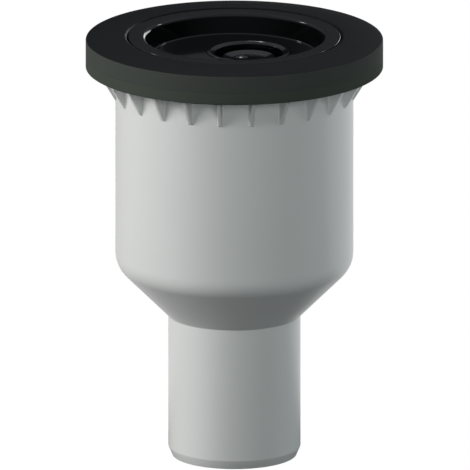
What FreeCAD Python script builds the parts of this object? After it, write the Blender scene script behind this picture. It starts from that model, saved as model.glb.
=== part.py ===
# Shower waste with an upright DN50 outlet and a lift-out water trap, in millimetres.
# The origin is on the axis, at the foot of the outlet spigot. +Z is up and the photographed side faces -Y.
import FreeCAD, Part
import math
import os
from FreeCAD import Vector

os.makedirs("parts", exist_ok=True)

# Drain body: outlet spigot, cone, pot and flange, one moulding
spigot_r = 25.0             # DN50 pipe spigot
spigot_wall = 2.5
spigot_length = 54.7        # from the foot to the start of the cone
spigot_chamfer = 3.5        # height of the lead-in at the foot
spigot_lead_in = 1.5        # how far the lead-in goes inwards
body_r = 45.0               # the pot passes a 90 mm waste hole
body_wall = 2.8
cone_angle = 45.0           # slope of the cone between spigot and pot
shoulder_r = 10.5           # outside radius where the cone meets the pot
flange_thick = 3.0
flange_overhang = 8.0       # how far the body flange stands out beyond the pot

# Gussets under the body flange
gusset_count = 24
gusset_thick = 1.8
gusset_setback = 0.5        # from the flange's edge to the gusset's outer end
gusset_drop = 11.4          # how far each one runs down the pot
gusset_toe = 0.5            # width of the blunt lower end
gusset_phase = 8.25         # first gusset, in degrees from -Y towards +X

# Seal over the body flange
seal_skirt_wall = 3.15      # outside the edge of the body flange
seal_top_thick = 1.4        # sheet on top of the body flange
seal_flange_gap = 0.1       # slack round the edge of the body flange
seal_thread_gap = 0.6       # from the screw ridge to the seal's inner edge
edge_bevel = 0.2            # bevel that draws the line between seal and clamp flange

# Clamp flange that screws into the pot
clamp_rim_height = 6.6      # straight outer side
clamp_rise = 1.4            # how much its top rises towards the mouth
clamp_edge_r = 0.8          # rounding at the mouth
clamp_mouth_step = 0.3      # how much wider than the neck's bore the opening for the cup's rim is
clamp_ledge_width = 2.0     # ledge in that opening, which carries the trap cup
clamp_ledge_drop = 3.0      # from the mouth's crest down to the ledge
clamp_land_height = 7.6     # height of the bore below the ledge, in which the trap cup seals
neck_wall = 2.0
neck_length = 18.6          # below the top of the flange seal
neck_chamfer = 0.6
key_lug_count = 6
key_lug_width = 5.0
key_lug_height = 8.0
key_lug_depth = 1.3

# Thread between the neck of the clamp flange and the pot
thread_pitch = 4.0
thread_turns = 3.0
thread_depth = 0.9
thread_base = 2.2           # width of the ridge at its root
thread_crest = 1.0          # width of the ridge at its crest
thread_clearance = 0.2
thread_relief = 0.3         # how much wider than the pot's bore the threaded length is
thread_start = 1.6          # from the foot of the neck to the first ridge

# Seal ring in the underside of the clamp flange
clamp_seal_setback = 4.1    # from the neck to the seal ring
clamp_outer_wall = 2.9      # plastic outside the seal ring's groove
clamp_seal_height = 3.4
clamp_seal_gap = 0.15

# Trap cup that the water first falls into
cup_rim_gap = 0.35          # the dark line between the cup's rim and the clamp flange
cup_rim_below_crest = 0.4   # the rim's top lies this much below the clamp flange's crest
cup_collar_width = 4.6      # from the cup's inner wall to the outside of its collar
cup_wall = 2.0
cup_lip_r = 1.6             # rounding of the lip
cup_depth = 7.8
cup_foot_r = 1.0            # fillet between wall and floor
cup_floor_thick = 2.0
cup_collar_gap = 0.3        # slack of the collar in the clamp flange's bore
cup_collar_length = 6.4     # below the rim

# Round seal on the trap cup's collar
collar_ring_d = 2.2         # section of the ring
collar_ring_drop = 3.1      # from the underside of the rim to the ring's centre
ring_groove_slack = 0.25    # free height beside a round seal in its groove
ring_squash = 0.03          # a round seal stands this clear of the bore it is drawn in

# Dip tube that hangs in an off-centre socket of the cup's floor
dip_turn = 51.5             # direction in which the tube is off centre, in degrees from +X
dip_socket_to_skirt = 2.4   # clear space between the socket and the cup's skirt
dip_flange_lap = 0.7        # how far the flange lies on the socket's edge
dip_flange_thick = 1.6
dip_dish = 0.5              # fall of the flange towards the mouth
dip_bore_r = 12.7
dip_wall = 1.2
dip_flange_gap = 0.1
dip_seal_room = 1.4         # from the tube's outside to the socket's bore
dip_socket_wall = 1.6
dip_socket_length = 10.0    # below the floor's top
dip_collar_gap = 0.1
dip_ring_d = 1.4
dip_ring_drop = 5.0         # from the floor's top to the ring's centre
dip_mouth_edge_r = 0.4

# Knob in the dip tube's mouth, by which it is pulled out
knob_gap = 3.5              # free way for the water between knob and tube
knob_top_drop = 0.9         # edge of the knob below the floor
knob_crown = 0.7            # how much the knob's ring stands above its edge
knob_dimple_r = 4.6
knob_dimple_depth = 0.7
knob_thick = 2.6
knob_stem_r = 3.6
knob_web_count = 3
knob_web_thick = 1.4
knob_web_top_drop = 5.5
knob_web_height = 12.0

# Trap beaker that holds the water seal
water_seal = 50.0           # from the dip tube's foot up to the overflow sill
fall_gap = 10.2             # free width round the beaker for the falling water
beaker_wall = 2.0
beaker_above_cone = 0.5     # from the top of the cone up to the beaker's bottom
sump_depth = 8.8            # under the foot of the dip tube
beaker_foot_r = 8.0         # outside rounding of its bottom
window_count = 4
window_height = 13.0
window_post = 9.0           # width of each post between two windows
window_head = 4.1           # from the top of a window to the beaker's rim
beaker_top_gap = 0.3        # under the cup's floor
skirt_gap = 0.2             # between the cup's skirt and the beaker
skirt_wall = 1.8
skirt_length = 6.5
snap_count = 4
snap_width = 6.0
snap_height = 1.2
snap_reach = 1.5
snap_gap = 0.15
snap_drop = 2.2             # from the cup's floor underside to the top of a snap

# Radii worked out from the sizes above, from the outside inwards
bore_r = body_r - body_wall
flange_r = body_r + flange_overhang
gusset_reach = flange_overhang - gusset_setback
seal_r = flange_r + seal_flange_gap + seal_skirt_wall
thread_bore_r = bore_r + thread_relief
neck_core_r = thread_bore_r - thread_clearance
neck_bore_r = neck_core_r - neck_wall
seal_inner_r = neck_core_r + thread_depth + seal_thread_gap
clamp_seal_inner_r = neck_core_r + clamp_seal_setback
clamp_seal_outer_r = seal_r - clamp_outer_wall - clamp_seal_gap
clamp_mouth_r = neck_bore_r + clamp_mouth_step
clamp_ledge_r = clamp_mouth_r - clamp_ledge_width
cup_rim_r = clamp_mouth_r - cup_rim_gap
cup_collar_r = clamp_ledge_r - cup_collar_gap
cup_mouth_r = cup_collar_r - cup_collar_width
beaker_r = bore_r - fall_gap
beaker_inner_r = beaker_r - beaker_wall
skirt_r = beaker_inner_r - skirt_gap
dip_outer_r = dip_bore_r + dip_wall
dip_socket_r = dip_outer_r + dip_seal_room
dip_flange_r = dip_socket_r + dip_flange_lap
dip_offset = skirt_r - skirt_wall - dip_socket_to_skirt - dip_socket_r - dip_socket_wall
dip_x = dip_offset * math.cos(math.radians(dip_turn))
dip_y = dip_offset * math.sin(math.radians(dip_turn))
knob_r = dip_bore_r - knob_gap

# Heights worked out from the foot upwards: the trap gives the pot its length
slope = math.tan(math.radians(cone_angle))
cone_top_z = spigot_length + (body_r - spigot_r) * slope
beaker_floor_z = cone_top_z + beaker_above_cone
dip_foot_z = beaker_floor_z + beaker_wall + sump_depth
sill_z = dip_foot_z + water_seal
beaker_top_z = sill_z + window_height + window_head
cup_under_z = beaker_top_z + beaker_top_gap
cup_floor_z = cup_under_z + cup_floor_thick
cup_top_z = cup_floor_z + cup_depth
crest_z = cup_top_z + cup_rim_below_crest
ledge_z = crest_z - clamp_ledge_drop
land_foot_z = ledge_z - clamp_land_height
clamp_rim_z = crest_z - clamp_rise
seal_top_z = clamp_rim_z - clamp_rim_height
flange_top_z = seal_top_z - seal_top_thick
flange_under_z = flange_top_z - flange_thick
neck_foot_z = seal_top_z - neck_length
thread_z = neck_foot_z + thread_start
cup_collar_z = ledge_z - cup_collar_length
collar_ring_z = ledge_z - collar_ring_drop
dip_ring_z = cup_floor_z - dip_ring_drop
snap_top_z = cup_under_z - snap_drop


def line(a, b):
    return Part.makeLine(Vector(a[0], 0, a[1]), Vector(b[0], 0, b[1]))


def bend(a, via, b):
    return Part.Arc(Vector(a[0], 0, a[1]), Vector(via[0], 0, via[1]), Vector(b[0], 0, b[1])).toShape()


def outline(points):
    """Edges of a section in the XZ plane. A point may be a plain corner (r, z) or a rounded one (r, z, radius)."""
    edges = []
    ends = []
    count = len(points)
    for i, point in enumerate(points):
        before = points[i - 1]
        after = points[(i + 1) % count]
        corner = Vector(point[0], point[1], 0)
        if len(point) == 2 or point[2] == 0:
            ends.append((corner, None, corner))
            continue
        back = (Vector(before[0], before[1], 0) - corner).normalize()
        ahead = (Vector(after[0], after[1], 0) - corner).normalize()
        half = back.getAngle(ahead) / 2
        reach = point[2] / math.tan(half)
        middle = corner + (back + ahead).normalize() * (point[2] / math.sin(half) - point[2])
        ends.append((corner + back * reach, middle, corner + ahead * reach))
    for i in range(count):
        start, middle, stop = ends[i]
        following = ends[(i + 1) % count][0]
        if middle is not None:
            edges.append(bend((start.x, start.y), (middle.x, middle.y), (stop.x, stop.y)))
        if stop.distanceToPoint(following) > 1e-6:
            edges.append(line((stop.x, stop.y), (following.x, following.y)))
    return edges


def revolve(points, x=0.0, y=0.0):
    """Turn a closed section round the vertical line through (x, y)."""
    face = Part.Face(Part.Wire(outline(points)))
    solid = face.revolve(Vector(0, 0, 0), Vector(0, 0, 1), 360)
    solid.translate(Vector(x, y, 0))
    return solid


def block(r0, r1, z0, z1, width, angle, x=0.0, y=0.0):
    """A straight-sided piece from r0 to r1, at an angle from +X, about the vertical line through (x, y)."""
    solid = Part.makeBox(r1 - r0, width, z1 - z0, Vector(r0, -width / 2, z0))
    solid.rotate(Vector(0, 0, 0), Vector(0, 0, 1), angle)
    solid.translate(Vector(x, y, 0))
    return solid


def ring(centre_r, section_d, z, x=0.0, y=0.0):
    """A round seal."""
    solid = Part.makeTorus(centre_r, section_d / 2)
    solid.translate(Vector(x, y, z))
    return solid


def thread_ridge(root_r, crest_r, extra):
    """The screw ridge that the neck carries, or with some extra the groove that it runs in."""
    inside = 0.4            # the ridge starts this deep in the wall that carries it
    half_base = thread_base / 2 + extra
    half_crest = thread_crest / 2 + extra
    flare = inside * (half_base - half_crest) / (crest_r - root_r)
    corners = [Vector(root_r - inside, 0, -half_base - flare), Vector(crest_r, 0, -half_crest),
               Vector(crest_r, 0, half_crest), Vector(root_r - inside, 0, half_base + flare)]
    profile = Part.makePolygon(corners + corners[:1])
    helix = Part.makeHelix(thread_pitch, thread_pitch * thread_turns, root_r - inside)
    ridge = Part.Wire(helix.Edges).makePipeShell([profile], True, True)
    ridge.translate(Vector(0, 0, thread_z + thread_base / 2))
    return ridge


def gusset(index):
    """One triangular rib between the pot and the underside of the flange."""
    inside = 0.6
    top = flange_under_z + inside
    corners = [(body_r - inside, top), (body_r + gusset_reach, top),
               (body_r + gusset_reach, flange_under_z), (body_r + gusset_toe, flange_under_z - gusset_drop),
               (body_r - inside, flange_under_z - gusset_drop)]
    face = Part.Face(Part.Wire(outline(corners)))
    rib = face.extrude(Vector(0, gusset_thick, 0))
    rib.translate(Vector(0, -gusset_thick / 2, 0))
    turn = gusset_phase + index * 360.0 / gusset_count - 90.0
    rib.rotate(Vector(0, 0, 0), Vector(0, 0, 1), turn)
    return rib


def drain_body():
    """The light grey moulding: spigot, cone, pot, flange and gussets, threaded inside at the top."""
    spigot_bore_r = spigot_r - spigot_wall
    rise = body_wall / math.cos(math.radians(cone_angle))
    cone_bore_foot_z = spigot_length - spigot_wall * slope + rise
    cone_bore_top_z = cone_top_z - body_wall * slope + rise
    thread_relief_z = neck_foot_z - thread_pitch
    step = thread_bore_r - bore_r
    shell = revolve([
        (spigot_r - spigot_lead_in, 0), (spigot_r, spigot_chamfer), (spigot_r, spigot_length),
        (body_r, cone_top_z, shoulder_r), (body_r, flange_under_z), (flange_r, flange_under_z, 0.4),
        (flange_r, flange_top_z, 0.4), (thread_bore_r, flange_top_z, 0.5),
        (thread_bore_r, thread_relief_z + step), (bore_r, thread_relief_z),
        (bore_r, cone_bore_top_z, shoulder_r - body_wall),
        (spigot_bore_r, cone_bore_foot_z), (spigot_bore_r, 0)])
    shell = shell.fuse([gusset(i) for i in range(gusset_count)]).removeSplitter()
    groove = thread_ridge(thread_bore_r, thread_bore_r + thread_depth, thread_clearance)
    return shell.cut(groove)


def flange_seal():
    """The rubber cap that lies on the body flange and wraps its edge."""
    return revolve([
        (seal_inner_r, flange_top_z), (flange_r + seal_flange_gap, flange_top_z),
        (flange_r + seal_flange_gap, flange_under_z), (seal_r, flange_under_z, 0.3),
        (seal_r, seal_top_z - edge_bevel), (seal_r - edge_bevel, seal_top_z), (seal_inner_r, seal_top_z)])


def clamp_flange():
    """The black flange whose threaded neck screws into the pot and pins the tray between the seals."""
    groove_inner_r = clamp_seal_inner_r - clamp_seal_gap
    groove_outer_r = clamp_seal_outer_r + clamp_seal_gap
    groove_top_z = seal_top_z + clamp_seal_height
    step = neck_bore_r - clamp_ledge_r
    body = revolve([
        (clamp_mouth_r, crest_z, clamp_edge_r), (clamp_mouth_r, ledge_z), (clamp_ledge_r, ledge_z, 0.3),
        (clamp_ledge_r, land_foot_z), (neck_bore_r, land_foot_z - step), (neck_bore_r, neck_foot_z),
        (neck_core_r - neck_chamfer, neck_foot_z), (neck_core_r, neck_foot_z + neck_chamfer),
        (neck_core_r, seal_top_z),
        (groove_inner_r, seal_top_z), (groove_inner_r, groove_top_z), (groove_outer_r, groove_top_z),
        (groove_outer_r, seal_top_z), (seal_r - edge_bevel, seal_top_z), (seal_r, seal_top_z + edge_bevel),
        (seal_r, clamp_rim_z, 0.3)])
    lug_z = neck_foot_z + 1.0
    lugs = []
    for i in range(key_lug_count):
        lugs.append(block(neck_bore_r - key_lug_depth, neck_bore_r + 0.5, lug_z, lug_z + key_lug_height,
                          key_lug_width, i * 360.0 / key_lug_count))
    ridge = thread_ridge(neck_core_r, neck_core_r + thread_depth, 0)
    return body.fuse(lugs + [ridge]).removeSplitter()


def clamp_seal():
    """The flat rubber ring in the underside of the clamp flange."""
    top_z = seal_top_z + clamp_seal_height
    return revolve([
        (clamp_seal_inner_r, seal_top_z), (clamp_seal_outer_r, seal_top_z),
        (clamp_seal_outer_r, top_z, 0.5), (clamp_seal_inner_r, top_z, 0.5)])


def groove_for(bore_r, section_d, z):
    """Floor radius and height limits of the groove that holds a round seal inside a bore."""
    floor_r = bore_r - section_d
    half = section_d / 2 + ring_groove_slack
    return floor_r, z - half, z + half


def trap_cup():
    """The glossy cup: rim, wall, floor with the dip tube's socket, collar, and the skirt that holds the beaker."""
    groove_r, groove_low, groove_high = groove_for(clamp_ledge_r, collar_ring_d, collar_ring_z)
    cup = revolve([
        (0, cup_floor_z), (cup_mouth_r, cup_floor_z, cup_foot_r), (cup_mouth_r, cup_top_z, cup_lip_r),
        (cup_rim_r, cup_top_z, 0.4), (cup_rim_r, ledge_z), (cup_collar_r, ledge_z),
        (cup_collar_r, groove_high), (groove_r, groove_high), (groove_r, groove_low),
        (cup_collar_r, groove_low), (cup_collar_r, cup_collar_z, 0.5), (cup_mouth_r + cup_wall, cup_collar_z),
        (cup_mouth_r + cup_wall, cup_under_z), (0, cup_under_z)])
    skirt = revolve([
        (skirt_r - skirt_wall, cup_under_z + 0.5), (skirt_r, cup_under_z + 0.5),
        (skirt_r, cup_under_z - skirt_length, 0.4), (skirt_r - skirt_wall, cup_under_z - skirt_length, 0.4)])
    socket_foot_z = cup_floor_z - dip_socket_length
    socket = revolve([
        (0, socket_foot_z), (dip_socket_r + dip_socket_wall, socket_foot_z, 0.4),
        (dip_socket_r + dip_socket_wall, cup_under_z + 0.5), (0, cup_under_z + 0.5)], dip_x, dip_y)
    snaps = []
    for i in range(snap_count):
        snaps.append(block(skirt_r - 0.6, skirt_r + snap_reach, snap_top_z - snap_height, snap_top_z,
                           snap_width, (i + 0.5) * 360.0 / snap_count))
    hole = revolve([
        (0, socket_foot_z - 1), (dip_socket_r, socket_foot_z - 1), (dip_socket_r, cup_floor_z - dip_flange_thick),
        (dip_flange_r + dip_flange_gap, cup_floor_z - dip_flange_thick),
        (dip_flange_r + dip_flange_gap, cup_floor_z + 1), (0, cup_floor_z + 1)], dip_x, dip_y)
    return cup.fuse([skirt, socket] + snaps).cut(hole).removeSplitter()


def collar_ring():
    """The round seal between the trap cup and the clamp flange."""
    return ring(clamp_ledge_r - collar_ring_d / 2, collar_ring_d - 2 * ring_squash, collar_ring_z)


def dip_tube():
    """The tube that dips into the water, with a dished flange, a sealing collar and a pull knob on three webs."""
    under_z = cup_floor_z - dip_flange_thick
    mouth_z = cup_floor_z - dip_dish
    groove_r, groove_low, groove_high = groove_for(dip_socket_r, dip_ring_d, dip_ring_z)
    collar_r = dip_socket_r - dip_collar_gap
    tube = revolve([
        (dip_bore_r, mouth_z, dip_mouth_edge_r), (dip_bore_r, dip_foot_z), (dip_outer_r, dip_foot_z),
        (dip_outer_r, groove_low - 2.2), (collar_r, groove_low - 1.2), (collar_r, groove_low),
        (groove_r, groove_low), (groove_r, groove_high), (collar_r, groove_high),
        (collar_r, under_z), (dip_flange_r, under_z), (dip_flange_r, cup_floor_z)])
    knob_edge_z = cup_floor_z - knob_top_drop
    crown_z = knob_edge_z + knob_crown
    ring_r = (knob_r + knob_dimple_r) / 2
    web_top_z = cup_floor_z - knob_web_top_drop
    web_foot_z = web_top_z - knob_web_height
    under_knob_z = knob_edge_z - knob_thick
    knob_edges = [
        line((0, crown_z - knob_dimple_depth), (knob_dimple_r - 1.6, crown_z - knob_dimple_depth)),
        Part.BSplineCurve([Vector(r, 0, z) for r, z in (
            (knob_dimple_r - 1.6, crown_z - knob_dimple_depth), (knob_dimple_r, crown_z - knob_dimple_depth * 0.35),
            (ring_r, crown_z), (knob_r - 0.7, crown_z - knob_crown * 0.55), (knob_r, knob_edge_z - 0.5))]).toShape(),
        line((knob_r, knob_edge_z - 0.5), (knob_stem_r, under_knob_z)),
        line((knob_stem_r, under_knob_z), (knob_stem_r, web_foot_z)),
        line((knob_stem_r, web_foot_z), (0, web_foot_z)),
        line((0, web_foot_z), (0, crown_z - knob_dimple_depth))]
    knob = Part.Face(Part.Wire(knob_edges)).revolve(Vector(0, 0, 0), Vector(0, 0, 1), 360)
    knob.translate(Vector(dip_x, dip_y, 0))
    webs = []
    for i in range(knob_web_count):
        webs.append(block(knob_stem_r - 1.0, dip_bore_r + 0.4, web_foot_z, web_top_z, knob_web_thick,
                          -90 + i * 360.0 / knob_web_count, dip_x, dip_y))
    tube.translate(Vector(dip_x, dip_y, 0))
    return tube.fuse([knob] + webs).removeSplitter()


def dip_ring():
    """The round seal between the dip tube and its socket."""
    return ring(dip_socket_r - dip_ring_d / 2, dip_ring_d - 2 * ring_squash, dip_ring_z, dip_x, dip_y)


def trap_beaker():
    """The beaker that holds the water seal, with an overflow window between each two posts."""
    inner_foot_z = beaker_floor_z + beaker_wall
    beaker = revolve([
        (0, beaker_floor_z), (beaker_r, beaker_floor_z, beaker_foot_r), (beaker_r, beaker_top_z, 0.4),
        (beaker_inner_r, beaker_top_z, 0.4), (beaker_inner_r, inner_foot_z, beaker_foot_r - beaker_wall),
        (0, inner_foot_z)])
    window_angle = 360.0 / window_count
    window_width = 2 * beaker_r * math.sin(math.radians(window_angle / 2)) - window_post
    cuts = []
    for i in range(window_count):
        cuts.append(block(beaker_inner_r / 2, beaker_r + 4, sill_z, sill_z + window_height, window_width,
                          i * window_angle))
    for i in range(snap_count):
        cuts.append(block(beaker_inner_r - 2, beaker_r + 4, snap_top_z - snap_height - snap_gap,
                          snap_top_z + snap_gap, snap_width + 2 * snap_gap, (i + 0.5) * 360.0 / snap_count))
    return beaker.cut(Part.Compound(cuts)).removeSplitter()


pieces = {
    "drain_body": drain_body,
    "flange_seal": flange_seal,
    "clamp_flange": clamp_flange,
    "clamp_seal": clamp_seal,
    "trap_cup": trap_cup,
    "collar_ring": collar_ring,
    "dip_tube": dip_tube,
    "dip_ring": dip_ring,
    "trap_beaker": trap_beaker,
}

for name, make in pieces.items():
    shape = make()
    if not shape.isValid():
        raise ValueError(name + " isn't a valid solid")
    if len(shape.Solids) != 1:
        raise ValueError(name + " came out as " + str(len(shape.Solids)) + " solids")
    shape.Solids[0].exportStep("parts/" + name + ".step")
    box = shape.BoundBox
    print(name, round(shape.Volume / 1000, 2), "cm3, z", round(box.ZMin, 2), "to", round(box.ZMax, 2),
          "half width", round(box.XMax, 2))
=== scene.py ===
# %% [markdown]
# # Dressing a shower waste
#
# A shower waste hangs under a shower tray and carries a water trap. This one goes straight down.
# Its outside is one light grey moulding: a pot as wide as the 90 mm waste hole, a cone and a 50 mm spigot.
# On top lie a black rubber seal and a black clamp flange, and in the middle sits a glossy black trap cup.
#
# The solids come from a fixed frame at real size. Here they are turned into smooth, softly rounded
# surfaces, given the plastics and rubber that the real ones are made of, and put in plain studio light.

# %% Load the frame
import math
import bpy
import bmesh
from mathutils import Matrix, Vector


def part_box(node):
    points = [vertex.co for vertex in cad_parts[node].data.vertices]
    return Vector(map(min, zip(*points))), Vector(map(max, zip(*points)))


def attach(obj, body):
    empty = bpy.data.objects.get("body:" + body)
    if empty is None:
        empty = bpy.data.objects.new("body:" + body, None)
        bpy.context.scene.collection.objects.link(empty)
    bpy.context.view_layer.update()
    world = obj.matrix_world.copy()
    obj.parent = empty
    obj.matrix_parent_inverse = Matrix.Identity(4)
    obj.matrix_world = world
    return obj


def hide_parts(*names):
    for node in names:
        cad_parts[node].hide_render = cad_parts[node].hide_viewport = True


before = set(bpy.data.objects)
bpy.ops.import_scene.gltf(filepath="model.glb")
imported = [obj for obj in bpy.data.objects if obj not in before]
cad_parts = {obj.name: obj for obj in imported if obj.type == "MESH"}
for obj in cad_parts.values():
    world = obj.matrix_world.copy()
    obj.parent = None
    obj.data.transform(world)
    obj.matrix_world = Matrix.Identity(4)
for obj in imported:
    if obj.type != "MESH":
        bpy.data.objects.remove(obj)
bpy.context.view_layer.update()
mm = 0.001

print("nodes:", sorted(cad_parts))

# %% [markdown]
# The camera looks down by 15 degrees. It is orthographic, as if it stood very far away, because the
# photograph shows the pot's sides parallel. A perspective camera a long way off would look much the same,
# but its distance would be a guess. The picture's width of 177.7 mm makes the black ring as wide here as
# it is in the photograph.

# %% Camera
photo_px = 470
view_down = math.radians(15.0)
picture_width = 177.7 * mm
axis_px = 234.4                 # column of the part's axis in the photograph
aim_height = 85.4 * mm          # height on the axis that lies on the photograph's middle row
camera_distance = 0.9
sight_length = 20.0

camera_data = bpy.data.cameras.new("camera")
camera_data.type = "ORTHO"
camera_data.ortho_scale = picture_width
camera_data.clip_end = sight_length
camera = bpy.data.objects.new("camera", camera_data)
bpy.context.scene.collection.objects.link(camera)
bpy.context.scene.camera = camera

look = Vector((0, math.cos(view_down), -math.sin(view_down)))
aim = Vector(((photo_px / 2 - axis_px) / photo_px * picture_width, 0, aim_height))
camera.location = aim - look * camera_distance
camera.rotation_euler = look.to_track_quat("-Z", "Y").to_euler()
print("camera at", tuple(round(v, 3) for v in camera.location))

# %% [markdown]
# Nearly every piece of a waste is round, so nearly every piece is one section turned about an axis.
# A section is a short list of corners in millimetres, as (radius, height) or (radius, height, rounding).
# Mouldings never have knife edges, and it is the small roundings that catch the light, so each corner may
# carry its own. The corners become points along arcs, and a spin turns the points into a skin.

# %% Sections and turning
arc_step = math.radians(15)     # one point for at most this much of a rounded corner
turns = 192                     # steps round the axis, a multiple of the 24 gussets
crease = math.radians(35)       # an edge that bends more than this stays sharp
weld_distance = 1e-7            # metres: points nearer than this become one
sliver_length = 1e-8


def rounded(corners, closed=True):
    """Points of a section, in millimetres, with its corners rounded."""
    points = []
    count = len(corners)
    for i, corner in enumerate(corners):
        at_end = not closed and i in (0, count - 1)
        if len(corner) == 2 or at_end:
            points.append((corner[0], corner[1]))
            continue
        here = Vector(corner[:2])
        back = (Vector(corners[i - 1][:2]) - here).normalized()
        ahead = (Vector(corners[(i + 1) % count][:2]) - here).normalized()
        half = back.angle(ahead) / 2
        centre = here + (back + ahead).normalized() * (corner[2] / math.sin(half))
        start = here + back * (corner[2] / math.tan(half)) - centre
        sweep = start.angle_signed(here + ahead * (corner[2] / math.tan(half)) - centre)
        steps = max(2, math.ceil(abs(sweep) / arc_step))
        for k in range(steps + 1):
            turn = -sweep * k / steps
            x = start.x * math.cos(turn) - start.y * math.sin(turn)
            y = start.x * math.sin(turn) + start.y * math.cos(turn)
            points.append((centre.x + x, centre.y + y))
    return points


def turn_section(mesh, points, x=0.0, y=0.0, closed=True):
    """Spin a section about the vertical line through (x, y) and add the skin to a bmesh."""
    verts = [mesh.verts.new(((r + x) * mm, y * mm, z * mm)) for r, z in points]
    edges = [mesh.edges.new(pair) for pair in zip(verts, verts[1:])]
    if closed:
        edges.append(mesh.edges.new((verts[-1], verts[0])))
    bmesh.ops.spin(mesh, geom=verts + edges, cent=(x * mm, y * mm, 0), axis=(0, 0, 1),
                   angle=math.tau, steps=turns, use_merge=True)


def finish_piece(name, mesh, node):
    """Close up a bmesh, smooth it, make it an object and seat it in the frame in place of its node."""
    bmesh.ops.remove_doubles(mesh, verts=mesh.verts, dist=weld_distance)
    bmesh.ops.dissolve_degenerate(mesh, edges=mesh.edges, dist=sliver_length)
    bmesh.ops.recalc_face_normals(mesh, faces=mesh.faces)
    data = bpy.data.meshes.new(name)
    mesh.to_mesh(data)
    mesh.free()
    data.shade_smooth()
    data.set_sharp_from_angle(angle=crease)
    piece = bpy.data.objects.new(name, data)
    bpy.context.scene.collection.objects.link(piece)
    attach(piece, "root")
    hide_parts(node)
    print(name, "has", len(data.polygons), "faces")
    return piece


# %% [markdown]
# A few details aren't turned. They stand round the axis like spokes: gussets, lugs, snaps and webs. Each
# is built from its own direction outwards and the direction across it. The lugs, snaps and webs are
# plain blocks, and one helper makes them all.

# %% Pieces that stand like spokes
def spoke_ways(turn):
    """The directions outwards and across at an angle from +X."""
    return (Vector((math.cos(turn), math.sin(turn), 0)), Vector((-math.sin(turn), math.cos(turn), 0)))


def add_spoke_block(mesh, turn, layers, x=0.0, y=0.0):
    """A block between two layers. A layer is its height and four corners, each as (out, across)."""
    out_way, side_way = spoke_ways(turn)
    corners = []
    for z, outline in layers:
        for out, across in outline:
            spot = out_way * out + side_way * across + Vector((x, y, 0))
            corners.append(mesh.verts.new((spot.x * mm, spot.y * mm, z * mm)))
    mesh.faces.new(corners[:4])
    mesh.faces.new(corners[4:])
    for k in range(4):
        after = (k + 1) % 4
        mesh.faces.new((corners[k], corners[after], corners[4 + after], corners[4 + k]))


# %% [markdown]
# The frame gives the sizes that everything hangs on. A node's box is at rest and in metres, so its upper
# corner gives a radius and a height at once. What the box can't say, such as a wall, is named here.

# %% Sizes from the frame
def reach(node):
    """Radius, foot and top of a node, in millimetres."""
    low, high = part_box(node)
    return (high[0] - low[0]) / 2 / mm, low[2] / mm, high[2] / mm


flange_r, foot_z, flange_top_z = reach("drain_body")
seal_r, flange_under_z, seal_top_z = reach("flange_seal")
_, neck_foot_z, crest_top_z = reach("clamp_flange")
cup_rim_r, _, cup_top_z = reach("trap_cup")
dip_flange_r, dip_foot_z, cup_floor_z = reach("dip_tube")
dip_low, dip_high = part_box("dip_tube")
dip_x = (dip_low[0] + dip_high[0]) / 2 / mm
dip_y = (dip_low[1] + dip_high[1]) / 2 / mm

spigot_r = 25.0
spigot_length = 54.7
spigot_wall = 2.5
pot_r = 45.0
pot_wall = 2.8
cone_top_z = spigot_length + pot_r - spigot_r       # the cone rises by 45 degrees
clamp_rim_z = seal_top_z + 6.6
crest_z = clamp_rim_z + 1.4     # the clamp flange's top rises this much towards the middle
print("flange radius", round(flange_r, 2), "seal radius", round(seal_r, 2))
print("crest at", round(crest_top_z, 2), "dip tube at", round(dip_x, 2), round(dip_y, 2))

# %% [markdown]
# ## The pot
# The pot, cone, spigot and flange are one moulding of polypropylene. Its skin is one turned section.
# The spigot ends in a chamfer that helps it into a pipe socket, and the cone leaves it with a crisp bend.

# %% Pot
shoulder_r = 10.5               # the soft bend from the pot into the cone
chamfer = 1.5
chamfer_height = 3.5
bore_widening = 0.3


def pot_section():
    pot_bore_r = pot_r - pot_wall
    spigot_bore_r = spigot_r - spigot_wall
    run = pot_wall * math.sqrt(2)       # the cone's wall, measured along the axis
    return rounded([
        (spigot_r - chamfer, foot_z, 0.2), (spigot_r, foot_z + chamfer_height, 0.8),
        (spigot_r, spigot_length, 0.5), (pot_r, cone_top_z, shoulder_r),
        (pot_r, flange_under_z, 0.5), (flange_r, flange_under_z, 0.4),
        (flange_r, flange_top_z, 0.4), (pot_bore_r + bore_widening, flange_top_z, 0.4),
        (pot_bore_r, cone_top_z - (pot_wall - run), shoulder_r - pot_wall),
        (spigot_bore_r, spigot_length + run - spigot_wall, 0.5), (spigot_bore_r, foot_z, 0.3)])


# %% [markdown]
# Under the flange stand 24 thin gussets, which keep the flange flat while the clamp flange is screwed
# down on it. A moulder gives each one a small fillet at its root, because a sharp root would crack. A
# gusset is made as a stack of open rows, one below another. Each row runs from the pot's wall round the
# gusset's outer edge and back, flares at both ends into the root fillet, and is rounded at the edge.

# %% Gussets
gusset_count = 24
gusset_half = 0.75              # half its thickness
gusset_reach = 7.5              # out from the pot's wall, right under the flange
gusset_toe = 0.5                # out from the pot's wall, at its lower end
gusset_drop = 11.4
gusset_phase = 8.25             # degrees from the front towards +X
gusset_sunk = 0.2               # each row starts this deep in the pot's wall
root_fillet = 0.55
fillet_gaps = (0.0, 0.06, 0.16, 0.3, 0.55)          # closer together where the fillet bends most
plain_drops = (1.5, 3.5, 5.5, 7.5, 9.5, 10.9)
edge_round = 0.3
edge_steps = 4
toe_round = 0.1
least_reach = 0.35


def root_flare(gap):
    """How much a wall thickens at this distance from the wall that it stands on."""
    gap = max(0.0, min(root_fillet, gap))
    return root_fillet - math.sqrt(root_fillet ** 2 - (root_fillet - gap) ** 2)


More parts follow.
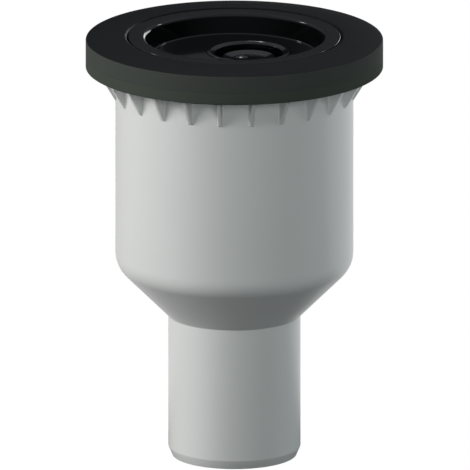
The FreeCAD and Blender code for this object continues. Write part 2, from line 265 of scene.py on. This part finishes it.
def gusset_row(outer, below_top):
    """Points (out, across) of one row, from one root round the outer edge to the other."""
    gaps = (-gusset_sunk, *fillet_gaps)
    side = [(gap, gusset_half + root_flare(gap)) for gap in gaps if gap < outer - edge_round]
    while len(side) < len(gaps):
        side.append(side[-1])
    widen = root_flare(below_top)
    half = gusset_half + widen
    right = [(out, across + widen) for out, across in side]
    for k in range(edge_steps + 1):
        turn = math.pi / 2 * k / edge_steps
        out = max(outer, least_reach) - edge_round * (1 - math.sin(turn))
        right.append((out, half - edge_round * (1 - math.cos(turn))))
    return right + [(out, -across) for out, across in reversed(right)]


def add_gussets(mesh):
    drops = [*fillet_gaps, *plain_drops, gusset_drop - toe_round, gusset_drop]
    for index in range(gusset_count):
        out_way, side_way = spoke_ways(math.radians(gusset_phase + index * 360 / gusset_count - 90))
        rows = []
        for drop in drops:
            outer = gusset_reach + (gusset_toe - gusset_reach) * drop / gusset_drop
            shrink = toe_round if drop == gusset_drop else 0.0
            row = []
            for out, across in gusset_row(outer - shrink, drop):
                spot = out_way * (pot_r + out) + side_way * across
                row.append(mesh.verts.new((spot.x * mm, spot.y * mm, (flange_under_z - drop) * mm)))
            rows.append(row)
        for upper, lower in zip(rows, rows[1:]):
            for k in range(len(upper) - 1):
                mesh.faces.new((upper[k], upper[k + 1], lower[k + 1], lower[k]))
        mesh.faces.new(rows[-1])


pot_mesh = bmesh.new()
turn_section(pot_mesh, pot_section())
add_gussets(pot_mesh)
pot = finish_piece("pot", pot_mesh, "drain_body")

# %% [markdown]
# ## Seal and clamp flange
# The black ring is two pieces that meet in a hair line round its side. The lower one is soft rubber and
# wraps the pot's flange. The upper one is hard plastic with a threaded neck, and it squeezes the shower
# tray between the two. Both have a tiny bevel where they meet, which is all that draws the line.

# %% Flange seal
bevel = 0.07
seal_inner_r = 43.8
seal_play = 0.1                 # between the rubber and the pot's flange


def seal_section():
    return rounded([
        (seal_inner_r, flange_top_z), (flange_r + seal_play, flange_top_z),
        (flange_r + seal_play, flange_under_z), (seal_r, flange_under_z, 0.35),
        (seal_r, seal_top_z - bevel), (seal_r - bevel, seal_top_z), (seal_inner_r, seal_top_z)])


seal_mesh = bmesh.new()
turn_section(seal_mesh, seal_section())
flange_seal = finish_piece("seal", seal_mesh, "flange_seal")

# %% [markdown]
# The clamp flange's section goes over the top, down the mouth to the ledge that the cup rests on, down
# the neck and back under the flange, where a groove holds one more seal. Its neck carries a screw ridge. A
# turned section can't climb, so the ridge is a strip of its own: one small profile, set again at each
# step round the neck and a little higher every time. Blender's Screw modifier could make it too, but
# written out it can be read step by step. Six lugs for the fitter's key stand in the neck's bore.

# %% Clamp flange
mouth_r = 40.6
ledge_z = crest_z - 3.0
ledge_r = 38.6
ledge_height = 7.6
neck_core_r = 42.3
neck_bore_r = 40.3
groove_inner_r = 46.25
groove_outer_r = 53.35
groove_depth = 3.4
thread_pitch = 4.0
thread_turns = 3
thread_depth = 0.9
thread_sunk = 0.2
thread_start = 1.6              # from the foot of the neck to the ridge
thread_half_base = 1.1
thread_half_root = 1.3          # half its height where it is sunk in the neck
thread_half_crest = 0.5
thread_steps = 96               # for one turn
lug_count = 6
lug_sunk = 0.5
lug_reach = 1.3
lug_half_root = 2.5
lug_half_tip = 2.3
lug_foot = 1.0                  # above the foot of the neck
lug_top = 9.0


def clamp_section():
    return rounded([
        (mouth_r, crest_z, 1.2), (mouth_r, ledge_z), (ledge_r, ledge_z, 0.3),
        (ledge_r, ledge_z - ledge_height),
        (neck_bore_r, ledge_z - ledge_height - (neck_bore_r - ledge_r)), (neck_bore_r, neck_foot_z, 0.2),
        (neck_core_r, neck_foot_z, 0.6), (neck_core_r, seal_top_z), (groove_inner_r, seal_top_z),
        (groove_inner_r, seal_top_z + groove_depth), (groove_outer_r, seal_top_z + groove_depth),
        (groove_outer_r, seal_top_z), (seal_r - bevel, seal_top_z), (seal_r, seal_top_z + bevel),
        (seal_r, clamp_rim_z, 0.45)])


def add_thread(mesh):
    """The screw ridge on the neck, as one strip that climbs round it."""
    profile = [(-thread_sunk, -thread_half_root), (thread_depth, -thread_half_crest),
               (thread_depth, thread_half_crest), (-thread_sunk, thread_half_root)]
    rows = []
    for k in range(thread_steps * thread_turns + 1):
        turn = math.tau * k / thread_steps
        rise = neck_foot_z + thread_start + thread_half_base + thread_pitch * k / thread_steps
        row = []
        for out, up in profile:
            r = neck_core_r + out
            x, y = r * math.cos(turn), r * math.sin(turn)
            row.append(mesh.verts.new((x * mm, y * mm, (rise + up) * mm)))
        rows.append(row)
    for first, second in zip(rows, rows[1:]):
        for k in range(4):
            mesh.faces.new((first[k], first[(k + 1) % 4], second[(k + 1) % 4], second[k]))
    mesh.faces.new(rows[0])
    mesh.faces.new(rows[-1])


def add_key_lugs(mesh):
    """Six lugs inside the neck, which take the fitter's key. They narrow a little towards the axis."""
    root, tip = neck_bore_r + lug_sunk, neck_bore_r - lug_reach
    outline = ((root, -lug_half_root), (tip, -lug_half_tip), (tip, lug_half_tip), (root, lug_half_root))
    for index in range(lug_count):
        add_spoke_block(mesh, math.tau * index / lug_count,
                        ((neck_foot_z + lug_foot, outline), (neck_foot_z + lug_top, outline)))


clamp_mesh = bmesh.new()
turn_section(clamp_mesh, clamp_section())
add_thread(clamp_mesh)
add_key_lugs(clamp_mesh)
clamp = finish_piece("clamp", clamp_mesh, "clamp_flange")

# %% [markdown]
# ## Trap cup
# The cup is what the water falls into. It rests on the clamp flange's ledge, and a thin dark gap shows
# between the two. Its wall leans in a little towards the floor, as a moulding's wall does so that it comes
# out of its mould. The floor has an off-centre hole for the dip tube, so a plain turned section can't make
# it. A boolean could cut the hole, but it leaves thin faces that shade badly in a glossy skin. So two
# turned skins stop at the hole's edge and at the floor's edge, and a flat ring of faces with as many steps
# joins the two circles.

# %% Trap cup
cup_mouth_r = 33.7
cup_foot_r = 32.2
floor_r = cup_foot_r - 1.4      # where the flat floor meets the turned wall
floor_thick = 2.0
cup_under_z = cup_floor_z - floor_thick
cup_wall = 2.0
collar_r = ledge_r - 0.3
collar_drop = 6.4
ring_groove_z = ledge_z - 3.1
ring_groove_half = 1.35
ring_groove_r = ledge_r - 2.2
skirt_outer_r = 29.8
skirt_inner_r = 28.0
skirt_drop = 6.5
socket_r = 15.3
socket_wall = 1.6
socket_drop = 10.0
seat_drop = 1.6                 # the tube's flange lies this deep in the floor
seat_r = dip_flange_r + 0.1
snap_count = 4
snap_sunk = 0.6
snap_half = 3.0
snap_profile = ((3.4, 0.6), (2.2, 1.5))             # below the cup's underside, out from the skirt


def circle(mesh, r, z, x=0.0, y=0.0):
    """A ring of points with as many steps as a turned section has."""
    verts = []
    for k in range(turns):
        turn = math.tau * k / turns
        spot_x, spot_y = x + r * math.cos(turn), y + r * math.sin(turn)
        verts.append(mesh.verts.new((spot_x * mm, spot_y * mm, z * mm)))
    return verts


def flat_ring(mesh, outer, inner):
    """Faces between two circles. The inner one may be off centre."""
    for k in range(turns):
        mesh.faces.new((outer[k], outer[(k + 1) % turns], inner[(k + 1) % turns], inner[k]))


def cup_wall_section():
    """From the edge of the floor up the wall, over the lip and down to the underside."""
    return rounded([
        (floor_r, cup_floor_z), (cup_foot_r, cup_floor_z, 0.6), (cup_mouth_r, cup_top_z, 1.7),
        (cup_rim_r, cup_top_z, 0.4), (cup_rim_r, ledge_z), (collar_r, ledge_z),
        (collar_r, ring_groove_z + ring_groove_half), (ring_groove_r, ring_groove_z + ring_groove_half),
        (ring_groove_r, ring_groove_z - ring_groove_half), (collar_r, ring_groove_z - ring_groove_half),
        (collar_r, ledge_z - collar_drop, 0.5), (cup_mouth_r + cup_wall, ledge_z - collar_drop),
        (cup_mouth_r + cup_wall, cup_under_z), (skirt_outer_r, cup_under_z),
        (skirt_outer_r, cup_under_z - skirt_drop, 0.4), (skirt_inner_r, cup_under_z - skirt_drop, 0.4),
        (skirt_inner_r, cup_under_z)], closed=False)


def socket_section():
    """From the hole's edge in the floor down the seat and the socket, and up its outside."""
    foot = cup_floor_z - socket_drop
    return rounded([
        (seat_r, cup_floor_z), (seat_r, cup_floor_z - seat_drop), (socket_r, cup_floor_z - seat_drop),
        (socket_r, foot, 0.3), (socket_r + socket_wall, foot, 0.3),
        (socket_r + socket_wall, cup_under_z)], closed=False)


def add_snaps(mesh):
    """Four snaps on the skirt, from which the beaker hangs. Each is a ramp that widens upwards."""
    root = skirt_outer_r - snap_sunk
    layers = []
    for drop, out in snap_profile:
        tip = skirt_outer_r + out
        layers.append((cup_under_z - drop, ((root, -snap_half), (tip, -snap_half),
                                            (tip, snap_half), (root, snap_half))))
    for index in range(snap_count):
        add_spoke_block(mesh, math.radians(45 + 360 / snap_count * index), layers)


cup_mesh = bmesh.new()
turn_section(cup_mesh, cup_wall_section(), closed=False)
turn_section(cup_mesh, socket_section(), dip_x, dip_y, closed=False)
floor_edge = circle(cup_mesh, floor_r, cup_floor_z)
flat_ring(cup_mesh, floor_edge, circle(cup_mesh, seat_r, cup_floor_z, dip_x, dip_y))
under_edge = circle(cup_mesh, skirt_inner_r, cup_under_z)
flat_ring(cup_mesh, under_edge, circle(cup_mesh, socket_r + socket_wall, cup_under_z, dip_x, dip_y))
add_snaps(cup_mesh)
cup = finish_piece("cup", cup_mesh, "trap_cup")

# %% [markdown]
# ## Dip tube and pull knob
# The dip tube hangs in the cup's socket and reaches down into the water, which is what keeps the smell of
# the drain out. The rim of its flange stands a hair above the cup's floor and catches the light. In its
# mouth stands a knob on three webs: fingers pull the tube out by it, and it keeps larger things from going
# down. The knob is a shallow dish. A low round nub in it marks where the plastic entered the mould, and
# gives the one bright point that the eye finds in the cup.

# %% Dip tube
bore_r = 12.7
tube_wall = 1.2
rim_proud = 0.35
rim_width = 1.6                 # from the bore to the inner edge of the rim
tube_ring_z = cup_floor_z - 5.0
tube_ring_half = 0.95
tube_collar_r = socket_r - 0.1
knob_r = 10.4
knob_top_z = cup_floor_z - 1.9
dish_r = 6.5
dish_z = knob_top_z - 0.9
stem_r = 3.6
web_top_z = cup_floor_z - 5.5
web_foot_z = web_top_z - 12.0
web_count = 3
web_half = 0.7
gate_r = 2.6
gate_height = 0.6
gate_top_z = dish_z + gate_height
gate_x, gate_y = dip_x - 2.65, dip_y + 3.1
gate_steps = 8


def tube_section():
    outer_r = bore_r + tube_wall
    rim_z = cup_floor_z + rim_proud
    return rounded([
        (bore_r, cup_floor_z - 0.4, 0.3), (bore_r, dip_foot_z, 0.3), (outer_r, dip_foot_z, 0.3),
        (outer_r, tube_ring_z - 3.1), (tube_collar_r, tube_ring_z - 2.1),
        (tube_collar_r, tube_ring_z - tube_ring_half), (outer_r, tube_ring_z - tube_ring_half),
        (outer_r, tube_ring_z + tube_ring_half), (tube_collar_r, tube_ring_z + tube_ring_half),
        (tube_collar_r, cup_floor_z - seat_drop), (dip_flange_r, cup_floor_z - seat_drop),
        (dip_flange_r, rim_z, 0.35), (bore_r + rim_width, rim_z, 0.6)])


def knob_section():
    """A shallow dish with a rounded edge, on a thick stem."""
    return rounded([
        (0.0, dish_z), (dish_r, dish_z, 1.2), (knob_r - 0.5, knob_top_z, 0.4),
        (knob_r, knob_top_z - 0.6, 0.4), (stem_r, knob_top_z - 4.2), (stem_r, web_foot_z),
        (0.0, web_foot_z)], closed=False)


def gate_mark_section():
    """The low round nub, as an arc from its top to its edge."""
    curve_r = (gate_r ** 2 + gate_height ** 2) / (2 * gate_height)
    spread = math.asin(gate_r / curve_r)
    points = []
    for k in range(gate_steps + 1):
        turn = spread * k / gate_steps
        points.append((curve_r * math.sin(turn), gate_top_z - curve_r * (1 - math.cos(turn))))
    return points


def add_webs(mesh):
    """Three webs that carry the knob in the tube's bore."""
    inner, outer = stem_r - 1.0, bore_r + 0.4       # sunk in the stem and in the tube's wall
    outline = ((inner, -web_half), (outer, -web_half), (outer, web_half), (inner, web_half))
    for index in range(web_count):
        add_spoke_block(mesh, math.radians(-90 + 360 / web_count * index),
                        ((web_foot_z, outline), (web_top_z, outline)), dip_x, dip_y)


tube_mesh = bmesh.new()
turn_section(tube_mesh, tube_section(), dip_x, dip_y)
turn_section(tube_mesh, knob_section(), dip_x, dip_y, closed=False)
turn_section(tube_mesh, gate_mark_section(), gate_x, gate_y, closed=False)
add_webs(tube_mesh)
tube = finish_piece("tube_and_knob", tube_mesh, "dip_tube")

# %% [markdown]
# ## Materials
# Colours are written as the eye and a paint chart know them, in sRGB hex. The shader works in linear
# light, so one function converts them. A second small function adds a node with its settings and links.

# %% Colour and node helpers
def linear(hex_code):
    """An sRGB hex colour as linear red, green, blue and alpha."""
    channels = []
    for k in (0, 2, 4):
        value = int(hex_code[k:k + 2], 16) / 255
        channels.append(value / 12.92 if value <= 0.04045 else ((value + 0.055) / 1.055) ** 2.4)
    return (*channels, 1.0)


def add_node(material, kind, settings=None, links=None):
    """Add a node with its settings and links. A socket is called by its name or by its place."""
    tree = material.node_tree
    node = tree.nodes.new(kind)
    for key, value in (settings or {}).items():
        if isinstance(key, int) or key in node.inputs:
            node.inputs[key].default_value = value
        else:
            setattr(node, key, value)
    for key, source in (links or {}).items():
        tree.links.new(source, node.inputs[key])
    return node


def start_material(name, colour, roughness, ior, specular=0.5):
    """A new material with a Principled shader and its plain numbers and colour on the sockets."""
    material = bpy.data.materials.new(name)
    material.use_nodes = True
    shader = material.node_tree.nodes["Principled BSDF"]
    shader.inputs["Base Color"].default_value = linear(colour)
    shader.inputs["Roughness"].default_value = roughness
    shader.inputs["IOR"].default_value = ior
    shader.inputs["Specular IOR Level"].default_value = specular
    return material, shader


def dress(target, material):
    """Put one material in every slot of an object."""
    if not target.data.materials:
        target.data.materials.append(material)
    for k in range(len(target.material_slots)):
        target.material_slots[k].material = material
    print(target.name, "wears", material.name)


# %% [markdown]
# All these skins come out of a mould, so they share one recipe. Pigment and cooling leave clouds that are
# a touch lighter and darker, and where the skin is lighter it is also a little duller. A fine grain in the
# bump breaks up the reflections. The sizes are real millimetres, and a noise texture's scale is how many
# of its spots fit in a metre. Where a pattern is linked to a socket, it takes the place of the plain
# value there.

# %% Moulded skin
# The Mix node has sockets of one name for numbers, vectors and colours, so those for colours go by place.
colour_a, colour_b, colour_out = 6, 7, 2


def moulded_skin(material, shader, light, dark, cloud_mm, grain_mm, depth_mm, roughness):
    """Cloudy tone, uneven gloss between two roughnesses, and a fine grain of a given depth."""
    tree = material.node_tree
    place = add_node(material, "ShaderNodeTexCoord")
    cloud = add_node(material, "ShaderNodeTexNoise", {"Scale": 1000 / cloud_mm, "Detail": 3.0},
                     {"Vector": place.outputs["Object"]})
    tone = add_node(material, "ShaderNodeMix",
                    {"data_type": "RGBA", colour_a: linear(dark), colour_b: linear(light)},
                    {"Factor": cloud.outputs["Fac"]})
    gloss = add_node(material, "ShaderNodeMapRange", {"From Min": 0.0, "From Max": 1.0,
                     "To Min": roughness[0], "To Max": roughness[1]}, {"Value": cloud.outputs["Fac"]})
    grain = add_node(material, "ShaderNodeTexNoise", {"Scale": 1000 / grain_mm, "Detail": 2.0},
                     {"Vector": place.outputs["Object"]})
    bump = add_node(material, "ShaderNodeBump", {"Strength": 1.0, "Distance": depth_mm * mm},
                    {"Height": grain.outputs["Fac"]})
    tree.links.new(tone.outputs[colour_out], shader.inputs["Base Color"])
    tree.links.new(gloss.outputs["Result"], shader.inputs["Roughness"])
    tree.links.new(bump.outputs["Normal"], shader.inputs["Normal"])


# %% [markdown]
# **Polypropylene, moulded.** The pot is coloured right through in the light grey of waste pipe. The mould
# was smooth but not polished, so it has a soft, broad sheen and the faintest unevenness in tone. The real
# skin's waves are finer than a pixel, so they are drawn 2.6 mm wide here, and only 4 thousandths of a
# millimetre deep.

# %% Grey polypropylene
pp_grey, pp_grey_shader = start_material("polypropylene_moulded_grey", "C6C8C6", 0.38, 1.49)
moulded_skin(pp_grey, pp_grey_shader, light="CBCCCA", dark="C8C9C7", cloud_mm=18, grain_mm=2.6,
             depth_mm=0.004, roughness=(0.27, 0.31))
dress(pot, pp_grey)

# %% [markdown]
# **EPDM rubber, moulded.** The seal is soft black rubber. It is a little greener and duller than the
# plastic beside it, with a fine sandy grain from the mould. Such a grain shades itself and hardly mirrors,
# so the specular level is far below the usual 0.5. Three more seals lie hidden inside.

# %% Black rubber
epdm, epdm_shader = start_material("epdm_rubber_moulded_black", "393D38", 0.75, 1.50, specular=0.05)
moulded_skin(epdm, epdm_shader, light="3F433E", dark="3A3F3A", cloud_mm=9, grain_mm=0.6,
             depth_mm=0.012, roughness=(0.70, 0.80))
dress(flange_seal, epdm)
for name in ("clamp_seal", "collar_ring", "dip_ring"):
    dress(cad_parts[name], epdm)

# %% [markdown]
# **Polypropylene, spark-eroded.** The side of the clamp flange comes from a spark-eroded mould, which
# leaves an even satin skin that hides scratches. Its grain is about 0.4 mm here, as coarse as it needs to
# be to show.

# %% Black satin plastic
pp_satin, pp_satin_shader = start_material("polypropylene_spark_eroded_black", "393B39", 0.7, 1.49,
                                           specular=0.05)
moulded_skin(pp_satin, pp_satin_shader, light="3D403D", dark="393C39", cloud_mm=14, grain_mm=0.4,
             depth_mm=0.010, roughness=(0.66, 0.74))
dress(clamp, pp_satin)

# %% [markdown]
# The same plastic has a smoother skin on the clamp flange's top. Its colour is painted far darker than the
# side's, painted shade that makes the top look blacker than the side. Faces are sorted by the way they
# look: those that look up get the smooth, darker skin. The outer edge's rounding keeps the lighter satin
# colour, a painted highlight that draws a thin light line, and at the mouth the rounding is smooth and
# dark too.

# %% Black smooth plastic on the clamp flange's top, painted darker as shade
pp_smooth_painted_shade, pp_smooth_painted_shade_shader = start_material("polypropylene_smooth_black_painted_shade", "202323", 0.45, 1.49,
                                             specular=0.1)
# Colours far darker than the satin side's: painted shade on the top.
moulded_skin(pp_smooth_painted_shade, pp_smooth_painted_shade_shader, light="0D1011", dark="0B0E0F", cloud_mm=14, grain_mm=0.8,
             depth_mm=0.004, roughness=(0.42, 0.50))
clamp.data.materials.append(pp_smooth_painted_shade)
smooth_painted_shade_slot = 1
mouth_edge = 2.0                # width of the band round the mouth
rim_margin = 0.1
# Faces of the outer rounding that look up less than this keep the lighter satin colour: a painted
# highlight line.
looks_up = 0.85
looks_partly_up = 0.5
top_faces = []
for face in clamp.data.polygons:
    near_mouth = face.center.xy.length < (mouth_r + mouth_edge) * mm
    least_up = looks_partly_up if near_mouth else looks_up
    if face.center.z > (clamp_rim_z - rim_margin) * mm and face.normal.z > least_up:
        top_faces.append(face)
for face in top_faces:
    face.material_index = smooth_painted_shade_slot
print("smooth top faces:", len(top_faces))

# %% [markdown]
# **ABS, mirror-polished mould.** Cup and dip tube are pulled out and washed, so they are glossy. Nearly
# all that the eye sees of them is reflection. Their skin is so smooth that its waves are under a
# thousandth of a millimetre deep.

# %% Black gloss plastic
abs_gloss, abs_gloss_shader = start_material("abs_polished_black", "070808", 0.1, 1.53)
moulded_skin(abs_gloss, abs_gloss_shader, light="040505", dark="030404", cloud_mm=20, grain_mm=1.2,
             depth_mm=0.0008, roughness=(0.07, 0.11))
dress(cup, abs_gloss)
dress(tube, abs_gloss)

# %% [markdown]
# The cup's lip lies level with the clamp flange and has the same fine texture, so it shows no mirror
# image. Its black is painted lighter than the rest of the cup's, as painted light on the faces that look
# up.

# %% Black satin plastic on the cup's lip, painted lighter
abs_satin_painted_light, abs_satin_painted_light_shader = start_material("abs_fine_textured_black_painted_light", "141616", 0.4, 1.53,
                                             specular=0.1)
# Colours lighter than the glossy cup's: painted light on the lip.
moulded_skin(abs_satin_painted_light, abs_satin_painted_light_shader, light="141818", dark="121515", cloud_mm=14, grain_mm=0.8,
             depth_mm=0.004, roughness=(0.38, 0.44))
cup.data.materials.append(abs_satin_painted_light)
lip_slot = 1
lip_depth = 1.0
lip_looks_up = 0.9
lip_faces = [face for face in cup.data.polygons
             if face.normal.z > lip_looks_up and face.center.z > (cup_top_z - lip_depth) * mm]
for face in lip_faces:
    face.material_index = lip_slot
print("textured lip faces:", len(lip_faces))

# %% [markdown]
# The beaker is never seen in use. It is plain black polypropylene, and the frame's own solid shows it.

# %% Beaker
dress(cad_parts["trap_beaker"], pp_satin)

# %% [markdown]
# ## Floor and light
# The photograph's ground is plain white. The camera looks down, so a large floor fills the whole picture
# and no wall is needed. The floor answers three kinds of ray in three ways:
#
# - The camera sees it glow. That makes it as plain white as the photograph's ground, and next to nothing
#   is left of the part's shadow.
# - Mirror rays see it glow behind the part, and that makes the light rims on the pot's sides. In front of
#   the part and close to it the glow is painted down to a seventh, a painted shadow of the part, and on
#   the far left it is painted down to about a third, painted shade.
# - The light that it throws back on the part comes from its paint alone, and the paint is dark, because
#   in the photograph the underside of the cone stays dark.

# %% Floor
floor_size = 4.0                # metres, from the middle to an edge
floor_mesh = bmesh.new()
bmesh.ops.create_grid(floor_mesh, x_segments=1, y_segments=1, size=floor_size)
floor_data = bpy.data.meshes.new("floor")
floor_mesh.to_mesh(floor_data)
floor_mesh.free()
floor = bpy.data.objects.new("floor", floor_data)
floor.location.z = foot_z * mm
bpy.context.scene.collection.objects.link(floor)

floor_paint, floor_shader = start_material("studio_floor_matt_white", "343434", 0.9, 1.45, specular=0.0)
print("floor at", round(floor.location.z, 4))

# %% [markdown]
# The glow is worked out from the place on the floor and from the kind of ray that asks. Object coordinates
# are metres from the part's axis: Y leads behind the part and X to the right.

# %% Glow of the floor
full_glow = 0.985               # the light that falls on the paint adds the rest
# Painted shadow and shade in the glow that mirror rays see: dim in front of and close to the part along Y,
# dimmer to the left along X.
shaded = {"From Min": 0.02, "From Max": 0.09, "To Min": 0.15, "To Max": 1.0}       # along Y
dimmed = {"From Min": -0.20, "From Max": 0.10, "To Min": 0.36, "To Max": 1.0}      # along X
times = {"operation": "MULTIPLY"}
greater = {"operation": "MAXIMUM"}

rays = add_node(floor_paint, "ShaderNodeLightPath")
ground = add_node(floor_paint, "ShaderNodeTexCoord")
spot = add_node(floor_paint, "ShaderNodeSeparateXYZ", links={"Vector": ground.outputs["Object"]})
behind = add_node(floor_paint, "ShaderNodeMapRange", shaded, {"Value": spot.outputs["Y"]})
sideways = add_node(floor_paint, "ShaderNodeMapRange", dimmed, {"Value": spot.outputs["X"]})
painted_shade_factor = add_node(floor_paint, "ShaderNodeMath", times,
               {0: behind.outputs["Result"], 1: sideways.outputs["Result"]})
mirrored = add_node(floor_paint, "ShaderNodeMath", times,
                    {0: rays.outputs["Is Glossy Ray"], 1: painted_shade_factor.outputs[0]})
seen = add_node(floor_paint, "ShaderNodeMath", greater,
                {0: rays.outputs["Is Camera Ray"], 1: mirrored.outputs[0]})
seen_too = add_node(floor_paint, "ShaderNodeMath", greater,
                    {0: seen.outputs[0], 1: rays.outputs["Is Transmission Ray"]})
strength = add_node(floor_paint, "ShaderNodeMath", {**times, 1: full_glow}, {0: seen_too.outputs[0]})
glow = add_node(floor_paint, "ShaderNodeEmission", {"Color": linear("FFFFFF")},
                {"Strength": strength.outputs[0]})
both = add_node(floor_paint, "ShaderNodeAddShader",
                links={0: floor_shader.outputs[0], 1: glow.outputs[0]})
floor_paint.node_tree.links.new(both.outputs[0],
                                floor_paint.node_tree.nodes["Material Output"].inputs["Surface"])
dress(floor, floor_paint)

# %% [markdown]
# The light comes from soft boxes, which are area lamps that face the part. Two strong ones stand on the
# left. Two weaker cool ones in front fill the shade, and three cool ones on the right lift the far side
# and its rim. These seven would show as hard bright panes in the glossy cup, and the photograph has none,
# so mirror rays don't see them. A wide dim box low behind stays in view of mirror rays. Three small lamps
# are there for those rays above all: they make the glints on the cup's lip and the bright point in the
# middle of the cup.

# %% Soft boxes
lamp_distance = 1.6
lamp_aim = Vector((0, 0, 0.11))
white = (1.0, 1.0, 1.0)
cool = (0.93, 0.99, 1.0)


def soft_box(name, azimuth, elevation, width, height, radiance, colour=white):
    """A soft box that faces the part. Azimuth 0 is behind the part and 90 is on the right, in degrees."""
    side, rise = math.radians(azimuth), math.radians(elevation)
    away = Vector((math.sin(side) * math.cos(rise), math.cos(side) * math.cos(rise), math.sin(rise)))
    data = bpy.data.lights.new(name, "AREA")
    data.shape = "RECTANGLE"
    data.size = width
    data.size_y = height
    data.energy = radiance * width * height * math.pi
    data.color = colour
    box = bpy.data.objects.new(name, data)
    box.location = lamp_aim + away * lamp_distance
    box.rotation_euler = (-away).to_track_quat("-Z", "Y").to_euler()
    bpy.context.scene.collection.objects.link(box)
    print(name, "gives", round(data.energy, 2), "W")
    return box


for box in (soft_box("key_low", -87, 12, 0.74, 0.42, 17.0),
            soft_box("key_high", -114, 22, 0.74, 0.42, 14.1),
            soft_box("front_high", 168, 20, 0.54, 0.42, 8.5, cool),
            soft_box("front_low", 180, 4, 0.54, 0.36, 4.6, cool),
            soft_box("side_right", 100, 20, 0.54, 0.42, 6.0, (0.90, 0.98, 1.0)),
            soft_box("rim_high", 50, 27, 0.54, 0.42, 4.0, (0.88, 0.95, 1.0)),
            soft_box("rim_low", 62, 8, 0.40, 0.36, 11.5, (0.9, 0.96, 1.0))):
    box.visible_glossy = False
soft_box("low_back", 26, 9, 0.86, 0.50, 2.4)

soft_box("glint_left", -60, 40, 0.34, 0.07, 14.0)
soft_box("glint_right", 50, 34, 0.22, 0.05, 14.0)
soft_box("glint_back", -6.5, 55, 0.30, 0.13, 8.5)

# %% [markdown]
# The world is the rest of the studio. It gives a little cool light from all sides. Mirror rays see it as
# a ceiling that is black at the horizon and grows brighter upwards. That lies as a soft grey on the black
# ring and on the floor of the cup.

# %% World
ambient = 0.05
ceiling_rise = {"From Min": 0.12, "From Max": 0.7, "To Min": -ambient, "To Max": 0.34}

world = bpy.data.worlds.new("studio")
bpy.context.scene.world = world
world.use_nodes = True
sky = world.node_tree.nodes["Background"]
sky.inputs["Color"].default_value = (0.9, 0.95, 1.0, 1.0)
way = add_node(world, "ShaderNodeTexCoord")
height = add_node(world, "ShaderNodeSeparateXYZ", links={"Vector": way.outputs["Generated"]})
ceiling = add_node(world, "ShaderNodeMapRange", ceiling_rise, {"Value": height.outputs["Z"]})
sky_rays = add_node(world, "ShaderNodeLightPath")
sky_mirror = add_node(world, "ShaderNodeMath", {"operation": "MULTIPLY_ADD", 2: ambient},
                      {0: ceiling.outputs["Result"], 1: sky_rays.outputs["Is Glossy Ray"]})
world.node_tree.links.new(sky_mirror.outputs[0], sky.inputs["Strength"])
bpy.context.scene.view_settings.view_transform = "Standard"
print("world and", len(bpy.data.lights), "lamps are set")
